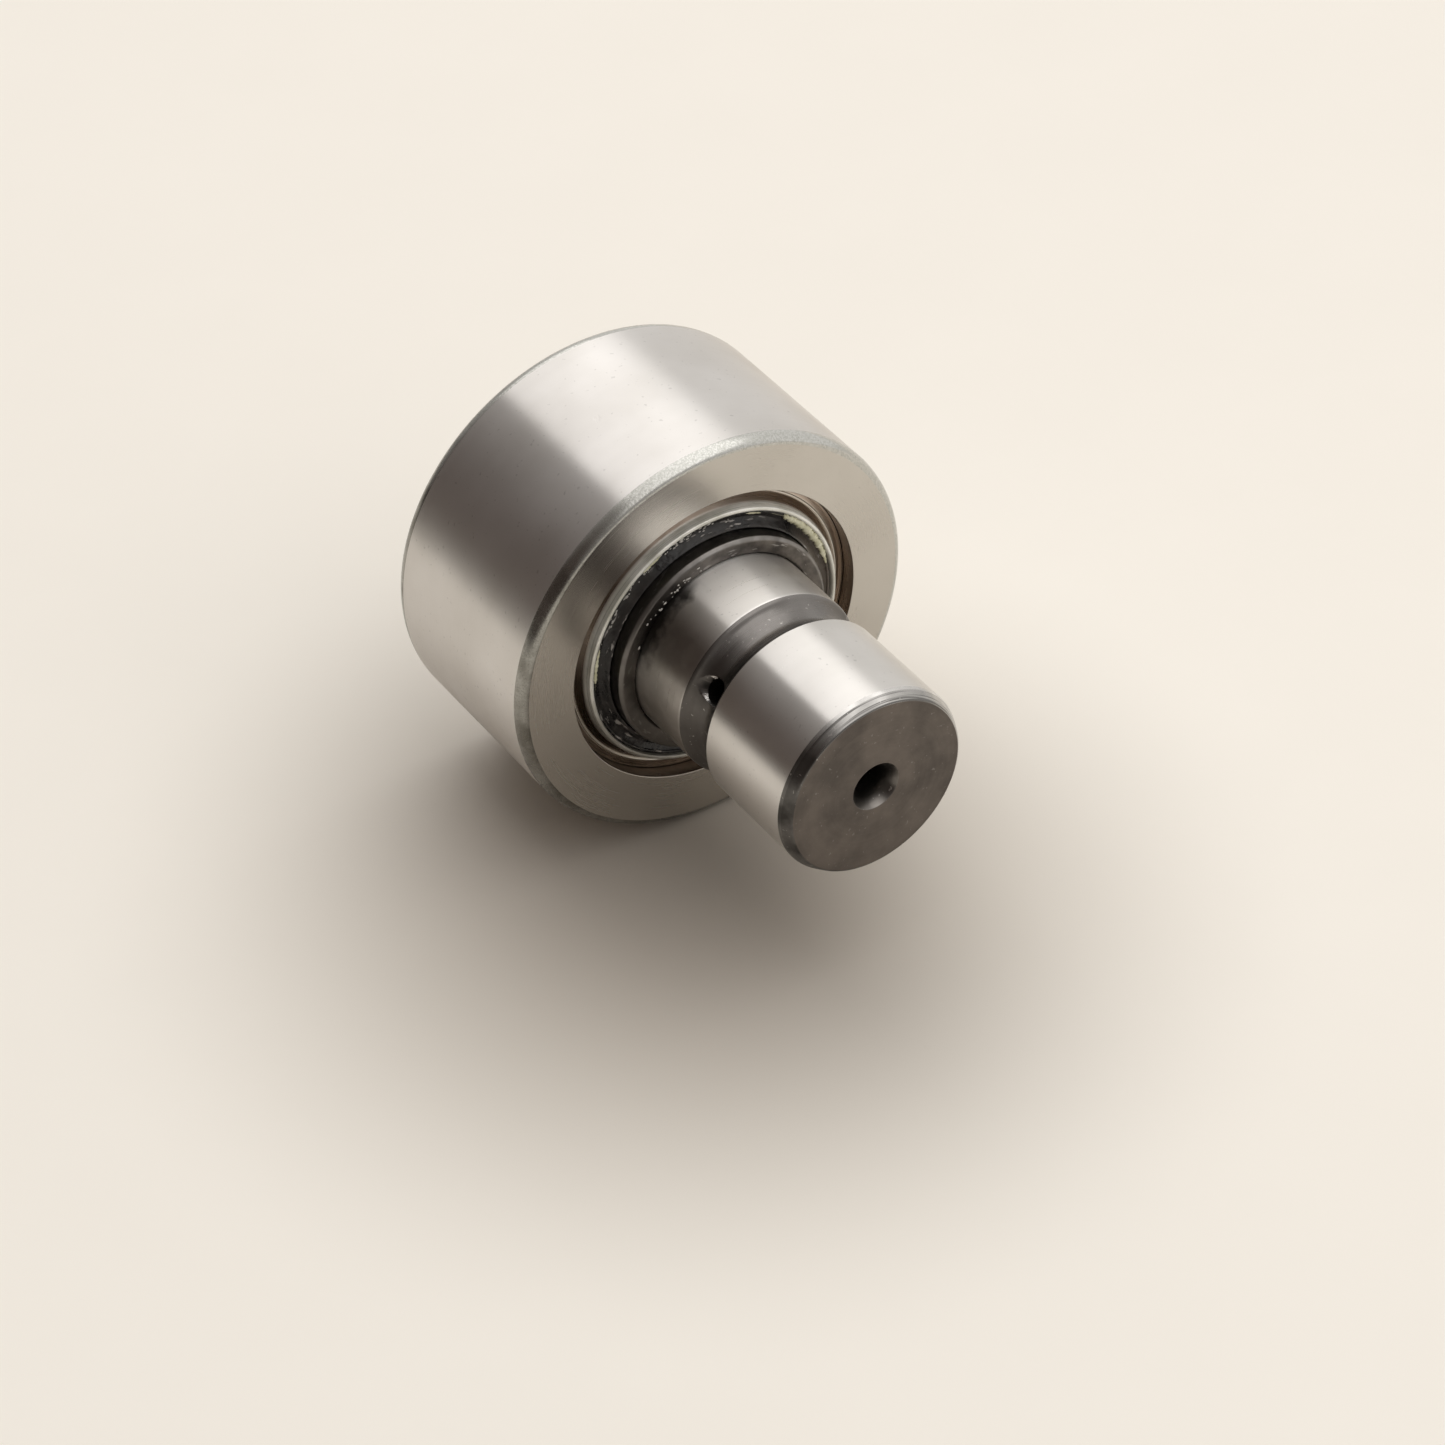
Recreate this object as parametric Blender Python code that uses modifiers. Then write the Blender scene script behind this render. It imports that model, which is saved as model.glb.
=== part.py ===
"""Stud-type cam follower, 35 x 16 x 39 mm: a hardened roller on caged needle rollers, sealed both sides.

The stud is one turned piece: plain shank with a clamp groove, needle raceway, flange and head.
Every piece is modelled upright, like work in a lathe. Stations are millimetres along the stud from the
mounting face, positive towards the shank's end, and the whole assembly is then laid down along -Y.
"""
import math

import bmesh
import bpy
from mathutils import Matrix

MM = 0.001

# Driving dimensions of the follower, in millimetres
ROLLER_DIAMETER = 35.0
ROLLER_WIDTH = 18.0
SHANK_DIAMETER = 16.0
OVERALL_LENGTH = 39.0
ROLLER_SETBACK = 1.2       # roller face to mounting face
NEEDLE_COUNT = 18
NEEDLE_DIAMETER = 2.5
RACEWAY_DIAMETER = 20.0    # on the stud
RECESS_DIAMETER = 25.7     # seal seat in each roller face

# Fits and gaps
RACE_PLAY = 0.02           # needle to raceway, on radius
RUNNING_GAP = 0.08         # between pieces that turn on each other
SEAT_GAP = 0.03            # between pieces that are pressed together

# Roundness: steps of each turned surface
RING_STEPS = 60
NEEDLE_STEPS = 16
HOLE_STEPS = 24

# Worked out from the above
roller_radius = ROLLER_DIAMETER / 2
shank_radius = SHANK_DIAMETER / 2
raceway_radius = RACEWAY_DIAMETER / 2
recess_radius = RECESS_DIAMETER / 2
needle_radius = NEEDLE_DIAMETER / 2
pitch_radius = raceway_radius + needle_radius + RACE_PLAY
ring_bore_radius = pitch_radius + needle_radius + 2 * RACE_PLAY
roller_front = -ROLLER_SETBACK
roller_rear = roller_front - ROLLER_WIDTH
roller_middle = (roller_front + roller_rear) / 2
shank_end = OVERALL_LENGTH - ROLLER_WIDTH - ROLLER_SETBACK

# Bearing stack, measured out from the roller's middle so that both halves match
NEEDLE_LENGTH = 9.0
NEEDLE_CHAMFER = 0.2
NEEDLE_END_PLAY = 0.1
STACK_PLAY = 0.05
RIB_WIDTH = 1.0
RIB_RADIUS = 11.75         # inner edge of the roller's ribs
THRUST_WASHER_WIDTH = 0.4
FLANGE_WIDTH = 0.7
FLANGE_RADIUS = 12.6
CAGE_GAP = 0.35            # raceway to the cage's bore
CAGE_RIB_GAP = 0.15        # cage to the roller's ribs
rib_inner = NEEDLE_LENGTH / 2 + NEEDLE_END_PLAY
rib_outer = rib_inner + RIB_WIDTH
thrust_washer_far = rib_outer + STACK_PLAY + THRUST_WASHER_WIDTH
flange_near = thrust_washer_far + STACK_PLAY
flange_far = flange_near + FLANGE_WIDTH

# Shank details
GROOVE_FRONT = 9.3
GROOVE_REAR = 5.9
GROOVE_DEPTH = 1.1
groove_middle = (GROOVE_FRONT + GROOVE_REAR) / 2
END_CHAMFER_LENGTH = 1.0
END_CHAMFER_DEPTH = 0.5
CENTRE_RADIUS = 2.05
CENTRE_DEPTH = 1.5
RACEWAY_CHAMFER = 0.2
OIL_DRILL_RADIUS = 1.25
OIL_DRILL_OVERRUN = 2.0    # how far the axial drilling passes the roller's middle
OIL_DRILL_POINT = 0.7
CROSS_DRILL_RADIUS = 1.0
CROSS_DRILL_START = 0.3    # distances of its two ends from the stud's axis
CROSS_DRILL_END = 12.7
COUNTERSINK_RADIUS = 1.45
COUNTERSINK_DEPTH = 1.0
COUNTERSINK_FLOOR = 0.25   # below the bottom of the groove
OIL_HOLE_ANGLE = 150.4     # around the stud, from +X towards +Z once the part is laid down
HEAD_RADIUS = 10.9
HEAD_CHAMFER = 0.4
HEAD_CENTRE_DEPTH = 2.0
HEAD_SETBACK = 0.2         # head face to the roller's rear face
head_face = roller_rear + HEAD_SETBACK

# Abutment washer
HUB_RADIUS = 9.45          # where the front seal lip runs
HUB_CHAMFER = 0.25
WASHER_BORE_CHAMFER = 0.15
WASHER_OVERLAP = 0.75      # its counterbore over the end of the raceway

# Roller edges, and the seals, whose depths are below the roller's face
EDGE_FALL = 0.8            # on radius
EDGE_LENGTH = 0.9          # along the axis
EDGE_MIDDLE = 0.3          # both ways, for the point between
RECESS_CHAMFER = 0.1
FRONT_CASE_BORE = 10.85
REAR_CASE_BORE = 11.65
CASE_DEPTH = 0.1
CASE_RIM_DEPTH = 1.5
CASE_SHEET = 0.6
CASE_SHOULDER = 0.75       # from the recess to the foot of the dished wall
CASE_EDGE = 0.35           # width of the rolled edge
CASE_BEND = 0.15
LIP_DEPTH = 0.35
LIP_BACK = 2.05
LIP_STEP = 0.15
LIP_WIDTH = 0.4            # of the thin lip that runs on the hub


def clear_scene():
    for obj in list(bpy.data.objects):
        bpy.data.objects.remove(obj, do_unlink=True)


def make_collection(name):
    collection = bpy.data.collections.new(name)
    bpy.context.scene.collection.children.link(collection)
    return collection


def make_material(name, colour, roughness, metallic):
    material = bpy.data.materials.new(name)
    material.use_nodes = True
    shader = material.node_tree.nodes["Principled BSDF"]
    shader.inputs["Base Color"].default_value = (*colour, 1.0)
    shader.inputs["Roughness"].default_value = roughness
    shader.inputs["Metallic"].default_value = metallic
    return material


def add_object(name, mesh, parent, collection, material=None):
    obj = bpy.data.objects.new(name, mesh)
    collection.objects.link(obj)
    obj.parent = parent
    if material:
        mesh.materials.append(material)
    return obj


def add_axis(name, parent, x=0.0, y=0.0):
    """An empty whose Z is a turning axis at x, y, level with the roller's middle."""
    empty = bpy.data.objects.new(name, None)
    empty.empty_display_size = 5 * MM
    parts.objects.link(empty)
    empty.parent = parent
    level = roller_middle if parent is assembly else 0.0
    empty.location = (x * MM, y * MM, level * MM)
    return empty


def outline_mesh(name, outline, closed, base):
    """A profile in the XZ plane: (radius, station) pairs, with station zero moved to `base`."""
    shape = bmesh.new()
    points = [shape.verts.new((radius * MM, 0.0, (station - base) * MM)) for radius, station in outline]
    for first, second in zip(points, points[1:]):
        shape.edges.new((first, second))
    if closed:
        shape.edges.new((points[-1], points[0]))
    mesh = bpy.data.meshes.new(name)
    shape.to_mesh(mesh)
    shape.free()
    return mesh


def turn(obj, steps):
    screw = obj.modifiers.new("turned", "SCREW")
    screw.axis = "Z"
    screw.angle = math.tau
    screw.steps = steps
    screw.render_steps = steps
    screw.use_merge_vertices = True
    screw.merge_threshold = 0.00001
    screw.use_normal_calculate = False
    screw.use_smooth_shade = True
    return screw


def turned_piece(name, outline, parent, material, base=0.0, steps=RING_STEPS):
    """A turned solid. The outline runs down the outer side, and closes on itself if it has a bore."""
    on_axis = outline[0][0] == 0.0 and outline[-1][0] == 0.0
    mesh = outline_mesh(name, outline, not on_axis, base)
    obj = add_object(name, mesh, parent, parts, material)
    turn(obj, steps)
    return obj


def mirrored(outline):
    """The outline on the other side of the roller's middle, still running down its outer side."""
    return [(radius, 2 * roller_middle - station) for radius, station in reversed(outline)]


def drill(name, radius, length, location, rotation, tip_radius=None, steps=HOLE_STEPS):
    """A cylinder or cone cutter along its own Z, centred at `location` in millimetres."""
    shape = bmesh.new()
    bmesh.ops.create_cone(
        shape,
        cap_ends=True,
        segments=steps,
        radius1=radius * MM,
        radius2=(radius if tip_radius is None else tip_radius) * MM,
        depth=length * MM,
    )
    mesh = bpy.data.meshes.new(name)
    shape.to_mesh(mesh)
    shape.free()
    return add_cutter(name, mesh, location, rotation)


def add_cutter(name, mesh, location, rotation):
    cutter = add_object(name, mesh, assembly, cutters)
    cutter.location = [value * MM for value in location]
    cutter.rotation_euler = rotation
    cutter.hide_render = True
    cutter.display_type = "WIRE"
    return cutter


def cut(obj, cutter):
    boolean = obj.modifiers.new(cutter.name, "BOOLEAN")
    boolean.operation = "DIFFERENCE"
    boolean.solver = "EXACT"
    boolean.object = cutter


def groove_outline():
    """Points of the round-bottomed clamp groove, from its front edge to its rear edge."""
    half = (GROOVE_FRONT - GROOVE_REAR) / 2
    arc_radius = (half * half + GROOVE_DEPTH * GROOVE_DEPTH) / (2 * GROOVE_DEPTH)
    reach = math.asin(half / arc_radius)
    centre = shank_radius - GROOVE_DEPTH + arc_radius
    pieces = 6
    points = []
    for step in range(pieces + 1):
        angle = reach * (1 - 2 * step / pieces)
        points.append((centre - arc_radius * math.cos(angle), groove_middle + arc_radius * math.sin(angle)))
    return points


def make_stud():
    """Shank, clamp groove, needle raceway, thrust flange and head: one forging, turned and ground."""
    raceway_end = roller_middle + flange_far
    flange_front = roller_middle - flange_near
    flange_back = roller_middle - flange_far
    shoulder = raceway_end - WASHER_OVERLAP - STACK_PLAY
    drill_depth = roller_middle - OIL_DRILL_OVERRUN
    outline = [
        (0.0, drill_depth - OIL_DRILL_POINT),
        (OIL_DRILL_RADIUS, drill_depth),
        (OIL_DRILL_RADIUS, shank_end - CENTRE_DEPTH),
        (CENTRE_RADIUS, shank_end),
        (shank_radius - END_CHAMFER_DEPTH, shank_end),
        (shank_radius, shank_end - END_CHAMFER_LENGTH),
        *groove_outline(),
        (shank_radius, shoulder),
        (raceway_radius - RACEWAY_CHAMFER, shoulder),
        (raceway_radius, shoulder - RACEWAY_CHAMFER),
        (raceway_radius, flange_front),
        (FLANGE_RADIUS, flange_front),
        (FLANGE_RADIUS, flange_back),
        (HEAD_RADIUS, flange_back),
        (HEAD_RADIUS, head_face + HEAD_CHAMFER),
        (HEAD_RADIUS - HEAD_CHAMFER, head_face),
        (CENTRE_RADIUS, head_face),
        (0.0, head_face + HEAD_CENTRE_DEPTH),
    ]
    stud = turned_piece("stud", outline, assembly, steel_ground)
    cut_oil_holes(stud)
    return stud


def cut_oil_holes(stud):
    """Two cross drillings meet the axial one: in the clamp groove, and under the needles."""
    angle = math.radians(OIL_HOLE_ANGLE)
    lying = (0.0, math.pi / 2, angle)
    for name, station in (("groove_drill", groove_middle), ("raceway_drill", roller_middle)):
        middle = (CROSS_DRILL_START + CROSS_DRILL_END) / 2
        length = CROSS_DRILL_END - CROSS_DRILL_START
        place = (middle * math.cos(angle), middle * math.sin(angle), station)
        cut(stud, drill(name, CROSS_DRILL_RADIUS, length, place, lying))
    sink_middle = shank_radius - GROOVE_DEPTH - COUNTERSINK_FLOOR + COUNTERSINK_DEPTH
    place = (sink_middle * math.cos(angle), sink_middle * math.sin(angle), groove_middle)
    slope = COUNTERSINK_RADIUS - CROSS_DRILL_RADIUS
    cone = drill("groove_sink", CROSS_DRILL_RADIUS, 2 * COUNTERSINK_DEPTH, place, lying,
                 tip_radius=COUNTERSINK_RADIUS + slope)
    cut(stud, cone)


def make_abutment_washer():
    """Pressed on the shank against the raceway: its hub meets the bracket, its flange holds the roller."""
    seat = shank_radius + SEAT_GAP
    flange_back = roller_middle + flange_near
    flange_front = roller_middle + flange_far
    counterbore = flange_front - WASHER_OVERLAP
    outline = [
        (seat + WASHER_BORE_CHAMFER, 0.0),
        (HUB_RADIUS - HUB_CHAMFER, 0.0),
        (HUB_RADIUS, -HUB_CHAMFER),
        (HUB_RADIUS, flange_front),
        (FLANGE_RADIUS, flange_front),
        (FLANGE_RADIUS, flange_back),
        (raceway_radius + SEAT_GAP, flange_back),
        (raceway_radius + SEAT_GAP, counterbore),
        (seat, counterbore),
        (seat, -WASHER_BORE_CHAMFER),
    ]
    return turned_piece("abutment_washer", outline, assembly, steel_ground)


def make_thrust_washers():
    """Plastic washers between each flange and the roller's ribs."""
    near = roller_middle + rib_outer + STACK_PLAY
    far = roller_middle + thrust_washer_far
    inner = raceway_radius + RUNNING_GAP
    outer = recess_radius - 2 * RUNNING_GAP
    outline = [(inner, far), (outer, far), (outer, near), (inner, near)]
    turned_piece("front_thrust_washer", outline, assembly, plastic)
    turned_piece("rear_thrust_washer", mirrored(outline), assembly, plastic)


def make_outer_ring(spin):
    """The thick-walled roller: ground tread, recessed seal seats, and a raceway between two ribs."""
    front_half = [
        (recess_radius + RECESS_CHAMFER, roller_front),
        (roller_radius - EDGE_FALL, roller_front),
        (roller_radius - EDGE_MIDDLE, roller_front - EDGE_MIDDLE),
        (roller_radius, roller_front - EDGE_LENGTH),
    ]
    rib_front = roller_middle + rib_outer
    rib_back = roller_middle + rib_inner
    bore_half = [
        (ring_bore_radius, rib_back),
        (RIB_RADIUS, rib_back),
        (RIB_RADIUS, rib_front),
        (recess_radius, rib_front),
        (recess_radius, roller_front - RECESS_CHAMFER),
    ]
    outline = front_half + mirrored(front_half) + mirrored(bore_half) + bore_half
    return turned_piece("outer_ring", outline, spin, steel_roller, base=roller_middle)


def seal_case_outline(inner):
    """A pressed sheet ring: flat rim in the recess, a dished wall, and an edge rolled back at `inner`."""
    rim_front = roller_front - CASE_RIM_DEPTH
    rim_back = rim_front - CASE_SHEET
    top = roller_front - CASE_DEPTH
    outer = recess_radius - SEAT_GAP
    shoulder = recess_radius - CASE_SHOULDER
    wall = inner + CASE_EDGE
    return [
        (inner + CASE_BEND, top),
        (wall - CASE_BEND, top),
        (wall, top - CASE_EDGE),
        (shoulder, rim_front + CASE_BEND),
        (shoulder + CASE_BEND, rim_front),
        (outer, rim_front),
        (outer, rim_back),
        (inner + CASE_BEND, rim_back),
        (inner, rim_back + CASE_EDGE),
        (inner, top - CASE_BEND),
    ]


def seal_lip_outline(case_bore, hub):
    """A moulded ring bonded in the case, whose thin lip runs on the hub."""
    front = roller_front - LIP_DEPTH
    back = roller_front - LIP_BACK
    outer = case_bore - SEAT_GAP
    inner = hub + RUNNING_GAP
    return [
        (outer - LIP_STEP, front),
        (outer, front - LIP_STEP),
        (outer, back + LIP_STEP),
        (inner + 2 * LIP_STEP, back),
        (inner, back + 2 * LIP_STEP),
        (inner, front + LIP_STEP),
        (inner + LIP_STEP, front + 2 * LIP_STEP),
        (inner + LIP_WIDTH, front),
    ]


def make_seals(spin):
    """Each side has a steel case pressed in the roller and a rubber lip on the stud's hub or head."""
    front_case = seal_case_outline(FRONT_CASE_BORE)
    rear_case = mirrored(seal_case_outline(REAR_CASE_BORE))
    front_lip = seal_lip_outline(FRONT_CASE_BORE, HUB_RADIUS)
    rear_lip = mirrored(seal_lip_outline(REAR_CASE_BORE, HEAD_RADIUS))
    turned_piece("front_seal_case", front_case, spin, steel_pressed, base=roller_middle)
    turned_piece("rear_seal_case", rear_case, spin, steel_pressed, base=roller_middle)
    turned_piece("front_seal_lip", front_lip, spin, rubber, base=roller_middle)
    turned_piece("rear_seal_lip", rear_lip, spin, rubber, base=roller_middle)


def make_cage(orbit):
    """A steel sleeve with one window for each needle; its end rings pass under the roller's ribs."""
    half_width = rib_outer - STACK_PLAY
    inner = raceway_radius + CAGE_GAP
    outer = RIB_RADIUS - CAGE_RIB_GAP
    top = roller_middle + half_width
    bottom = roller_middle - half_width
    outline = [(inner, top), (outer, top), (outer, bottom), (inner, bottom)]
    cage = turned_piece("needle_cage", outline, orbit, steel_pressed, base=roller_middle)
    cut(cage, window_cutter())
    return cage


def window_cutter():
    """All the cage windows as one cutter of separate blocks."""
    width = NEEDLE_DIAMETER + 2 * RUNNING_GAP
    length = NEEDLE_LENGTH + 2 * RUNNING_GAP
    depth = 2 * (RIB_RADIUS - raceway_radius)
    shape = bmesh.new()
    for index in range(NEEDLE_COUNT):
        angle = needle_angle(index)
        made = bmesh.ops.create_cube(shape, size=1.0)["verts"]
        bmesh.ops.scale(shape, vec=(depth * MM, width * MM, length * MM), verts=made)
        bmesh.ops.translate(shape, vec=(pitch_radius * MM, 0.0, 0.0), verts=made)
        turn_matrix = Matrix.Rotation(angle, 3, "Z")
        bmesh.ops.rotate(shape, cent=(0.0, 0.0, 0.0), matrix=turn_matrix, verts=made)
    mesh = bpy.data.meshes.new("window_cutter")
    shape.to_mesh(mesh)
    shape.free()
    return add_cutter("window_cutter", mesh, (0.0, 0.0, roller_middle), (0.0, 0.0, 0.0))


def needle_angle(index):
    return math.tau * (index + 0.5) / NEEDLE_COUNT


def make_needles(orbit):
    """Needle rollers with chamfered ends, each on its own turning axis in a cage window."""
    half = NEEDLE_LENGTH / 2
    outline = [
        (0.0, half),
        (needle_radius - NEEDLE_CHAMFER, half),
        (needle_radius, half - NEEDLE_CHAMFER),
        (needle_radius, NEEDLE_CHAMFER - half),
        (needle_radius - NEEDLE_CHAMFER, -half),
        (0.0, -half),
    ]
    for index in range(NEEDLE_COUNT):
        angle = needle_angle(index)
        label = f"{index + 1:02d}"
        axis = add_axis(f"needle_axis_{label}", orbit, pitch_radius * math.cos(angle),
                        pitch_radius * math.sin(angle))
        axis.rotation_euler = (0.0, 0.0, angle)
        turned_piece(f"needle_{label}", outline, axis, steel_needle, steps=NEEDLE_STEPS)


clear_scene()
parts = make_collection("cam_follower")
cutters = make_collection("cutters")
steel_ground = make_material("ground_steel", (0.55, 0.53, 0.50), 0.25, 1.0)
steel_roller = make_material("roller_steel", (0.50, 0.48, 0.45), 0.30, 1.0)
steel_pressed = make_material("pressed_steel", (0.36, 0.33, 0.29), 0.35, 1.0)
steel_needle = make_material("needle_steel", (0.60, 0.60, 0.60), 0.15, 1.0)
rubber = make_material("seal_rubber", (0.03, 0.03, 0.03), 0.55, 0.0)
plastic = make_material("thrust_plastic", (0.62, 0.57, 0.45), 0.45, 0.0)

assembly = bpy.data.objects.new("assembly", None)
parts.objects.link(assembly)
assembly.rotation_euler = (math.pi / 2, 0.0, 0.0)
roller_axis = add_axis("roller_axis", assembly)
cage_axis = add_axis("cage_axis", assembly)

make_stud()
make_abutment_washer()
make_thrust_washers()
make_outer_ring(roller_axis)
make_seals(roller_axis)
make_cage(cage_axis)
make_needles(cage_axis)
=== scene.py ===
"""Stud-type cam follower, 35 x 16 x 39 mm: the finished look of each piece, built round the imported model.

The axis lies along Y with the shank towards -Y, and the mounting face of the washer is at y = 0.
"""

import math
import random

import bmesh
import bpy
from mathutils import Matrix, Vector


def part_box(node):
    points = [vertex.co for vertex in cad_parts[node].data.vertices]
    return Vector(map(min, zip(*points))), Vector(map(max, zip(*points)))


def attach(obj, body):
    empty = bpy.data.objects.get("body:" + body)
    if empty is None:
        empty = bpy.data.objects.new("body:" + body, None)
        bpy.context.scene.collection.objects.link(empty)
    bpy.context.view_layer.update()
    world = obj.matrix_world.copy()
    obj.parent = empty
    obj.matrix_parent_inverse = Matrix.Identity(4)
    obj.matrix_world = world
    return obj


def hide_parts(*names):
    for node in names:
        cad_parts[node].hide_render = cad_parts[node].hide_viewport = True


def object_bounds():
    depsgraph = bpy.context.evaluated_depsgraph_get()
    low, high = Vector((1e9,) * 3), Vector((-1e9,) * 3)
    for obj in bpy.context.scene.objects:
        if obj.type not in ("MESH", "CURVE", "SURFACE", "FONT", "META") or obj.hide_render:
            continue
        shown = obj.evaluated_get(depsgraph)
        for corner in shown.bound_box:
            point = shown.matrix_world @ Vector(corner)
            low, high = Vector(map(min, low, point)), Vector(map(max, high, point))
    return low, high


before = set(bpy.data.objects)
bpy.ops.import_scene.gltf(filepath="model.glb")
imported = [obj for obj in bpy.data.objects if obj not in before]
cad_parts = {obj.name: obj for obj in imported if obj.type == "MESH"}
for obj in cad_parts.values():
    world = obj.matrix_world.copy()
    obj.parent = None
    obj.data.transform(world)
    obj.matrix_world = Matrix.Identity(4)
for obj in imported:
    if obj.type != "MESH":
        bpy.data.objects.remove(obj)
cad_low, cad_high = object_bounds()

# ---------------------------------------------------------------------------------------------------
# The stud. One forging of bearing steel: turned all over, hardened, then the shank and the needle
# raceway are ground between the two lathe centres. The end face, its chamfer and the clamp groove stay
# as turned, dark from hardening and oil; the chamfer and the groove are also painted darker on the side
# away from the light, as painted shade. A cross drilling in the groove feeds oil to the needles.

MM = 0.001
TURN_STEPS = 288
stud_low, stud_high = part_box("stud")
ring_low, ring_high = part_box("outer_ring")
washer_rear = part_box("abutment_washer")[1].y
shank_end = stud_low.y
head_face = stud_high.y
roller_front = ring_low.y
roller_rear = ring_high.y
roller_middle = (roller_front + roller_rear) / 2
shank_radius = 8.0 * MM
end_radius = shank_radius - 0.5 * MM
chamfer_start = shank_end + 1.0 * MM
groove_front = -9.3 * MM
groove_rear = -5.9 * MM
groove_middle = (groove_front + groove_rear) / 2
groove_depth = 1.1 * MM
raceway_radius = 10.0 * MM
raceway_shoulder = washer_rear + 0.05 * MM
raceway_chamfer = 0.2 * MM
flange_radius = 12.6 * MM
flange_reach = 6.1 * MM
flange_width = 0.7 * MM
flange_front = roller_middle + flange_reach
flange_back = flange_front + flange_width
head_radius = 10.9 * MM
head_chamfer = 0.4 * MM
centre_mouth = 2.05 * MM
centre_depth = 1.5 * MM
head_centre_depth = 2.0 * MM
oil_drill = 1.25 * MM
oil_drill_end = roller_middle + 2.0 * MM
oil_drill_tip = 0.7 * MM
cross_drill = 1.0 * MM
cross_drill_start = 0.3 * MM
cross_drill_end = 12.0 * MM
cross_drill_angle = math.radians(150.4)
sink_radius = 1.45 * MM
sink_depth = 1.0 * MM
sink_floor = shank_radius - groove_depth - 0.25 * MM
broken_edge = 0.12 * MM
rubbed_edge = 0.20 * MM
end_face_edge = 0.16 * MM
centre_hole_edge = 0.05 * MM
groove_rub = 0.30 * MM
CRISP_EDGE = 32


def turned_shape(outline, bored=False, steps=TURN_STEPS):
    """A bmesh spun about Y from (radius, y) points. The outline of a bored piece closes on itself."""
    shape = bmesh.new()
    points = [shape.verts.new((radius, y, 0.0)) for radius, y in outline]
    edges = [shape.edges.new(pair) for pair in zip(points, points[1:])]
    if bored:
        edges.append(shape.edges.new((points[-1], points[0])))
    bmesh.ops.spin(shape, geom=points + edges, cent=(0, 0, 0), axis=(0, 1, 0), angle=math.tau,
                   steps=steps, use_merge=True)
    bmesh.ops.remove_doubles(shape, verts=shape.verts, dist=0.0005 * MM)
    bmesh.ops.recalc_face_normals(shape, faces=shape.faces)
    return shape


def round_rim(shape, radius, y, width=broken_edge, segments=3):
    """Rounds the circular edge at this radius and station, by `width` to each side."""
    reach = 0.01 * MM
    rim = [
        edge for edge in shape.edges
        if all(abs(math.hypot(v.co.x, v.co.z) - radius) < reach and abs(v.co.y - y) < reach
               for v in edge.verts)
    ]
    bmesh.ops.bevel(shape, geom=rim, offset=width, offset_type="OFFSET", segments=segments,
                    profile=0.5, affect="EDGES", material=-1, clamp_overlap=True)


def arc_points(centre, radius, start, end, count):
    """Points of an arc in the (radius, y) plane; angles in degrees from the radial direction."""
    angles = [math.radians(start + (end - start) * step / count) for step in range(count + 1)]
    return [(centre[0] + radius * math.cos(a), centre[1] + radius * math.sin(a)) for a in angles]


def eased_corner(before, corner, after, count=7):
    """A soft curve that replaces a sharp corner of an outline, from `before` to `after`."""
    points = []
    for step in range(count + 1):
        t = step / count
        shares = ((1 - t) ** 2, 2 * t * (1 - t), t ** 2)
        points.append(tuple(sum(share * point[axis] for share, point in zip(shares, (before, corner, after)))
                            for axis in (0, 1)))
    return points


def clamp_groove():
    """The round-bottomed groove, from its front edge to its rear edge, which is rubbed round.

    The arc stops a few degrees short of both edges, and a soft curve takes up the rest.
    """
    front_cut = 4
    rear_cut = 11
    half = (groove_rear - groove_front) / 2
    arc_radius = (half * half + groove_depth * groove_depth) / (2 * groove_depth)
    reach = math.degrees(math.asin(half / arc_radius))
    centre = (shank_radius - groove_depth + arc_radius, groove_middle)
    arc = arc_points(centre, arc_radius, 180 + reach - front_cut, 180 - reach + rear_cut, 24)
    front = eased_corner((shank_radius, groove_front - broken_edge), (shank_radius, groove_front), arc[0], 4)
    rear = eased_corner(arc[-1], (shank_radius, groove_rear), (shank_radius, groove_rear + groove_rub))
    return front + arc[1:-1] + rear


def keep_lands_true(piece):
    """Shades wide faces by their own normals, so that a small rounded edge doesn't bend a long land."""
    true = piece.modifiers.new("true_lands", "WEIGHTED_NORMAL")
    true.mode = "FACE_AREA"
    true.weight = 50
    true.keep_sharp = True


def finished_piece(name, shape, materials, sharp=CRISP_EDGE):
    """The bmesh as a smooth-shaded object at the origin, with edges over `sharp` degrees kept crisp."""
    mesh = bpy.data.meshes.new(name)
    shape.to_mesh(mesh)
    shape.free()
    mesh.shade_smooth()
    mesh.set_sharp_from_angle(angle=math.radians(sharp))
    for material in materials:
        mesh.materials.append(material)
    piece = bpy.data.objects.new(name, mesh)
    bpy.context.scene.collection.objects.link(piece)
    keep_lands_true(piece)
    return piece


def drill(piece, y, start, end, radius, far_radius=None):
    """Drills the piece along the cross-drill direction, between two distances from its axis.

    A far radius makes the hole a countersink.
    """
    shape = bmesh.new()
    bmesh.ops.create_cone(shape, cap_ends=True, segments=72, radius1=radius,
                          radius2=far_radius or radius, depth=end - start)
    along = Vector((math.cos(cross_drill_angle), 0.0, math.sin(cross_drill_angle)))
    place = Matrix.Translation(along * (start + end) / 2 + Vector((0.0, y, 0.0)))
    turn = along.to_track_quat("Z", "Y").to_matrix().to_4x4()
    bmesh.ops.transform(shape, matrix=place @ turn, verts=shape.verts)
    bit = finished_piece("drill_bit", shape, [])
    piece.modifiers.clear()
    cut = piece.modifiers.new("drilling", "BOOLEAN")
    cut.operation = "DIFFERENCE"
    cut.solver = "EXACT"
    cut.object = bit
    drilled = bpy.data.meshes.new_from_object(piece.evaluated_get(bpy.context.evaluated_depsgraph_get()))
    piece.modifiers.clear()
    piece.data = drilled
    piece.data.set_sharp_from_angle(angle=math.radians(CRISP_EDGE))
    bpy.data.objects.remove(bit)
    keep_lands_true(piece)


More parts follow.
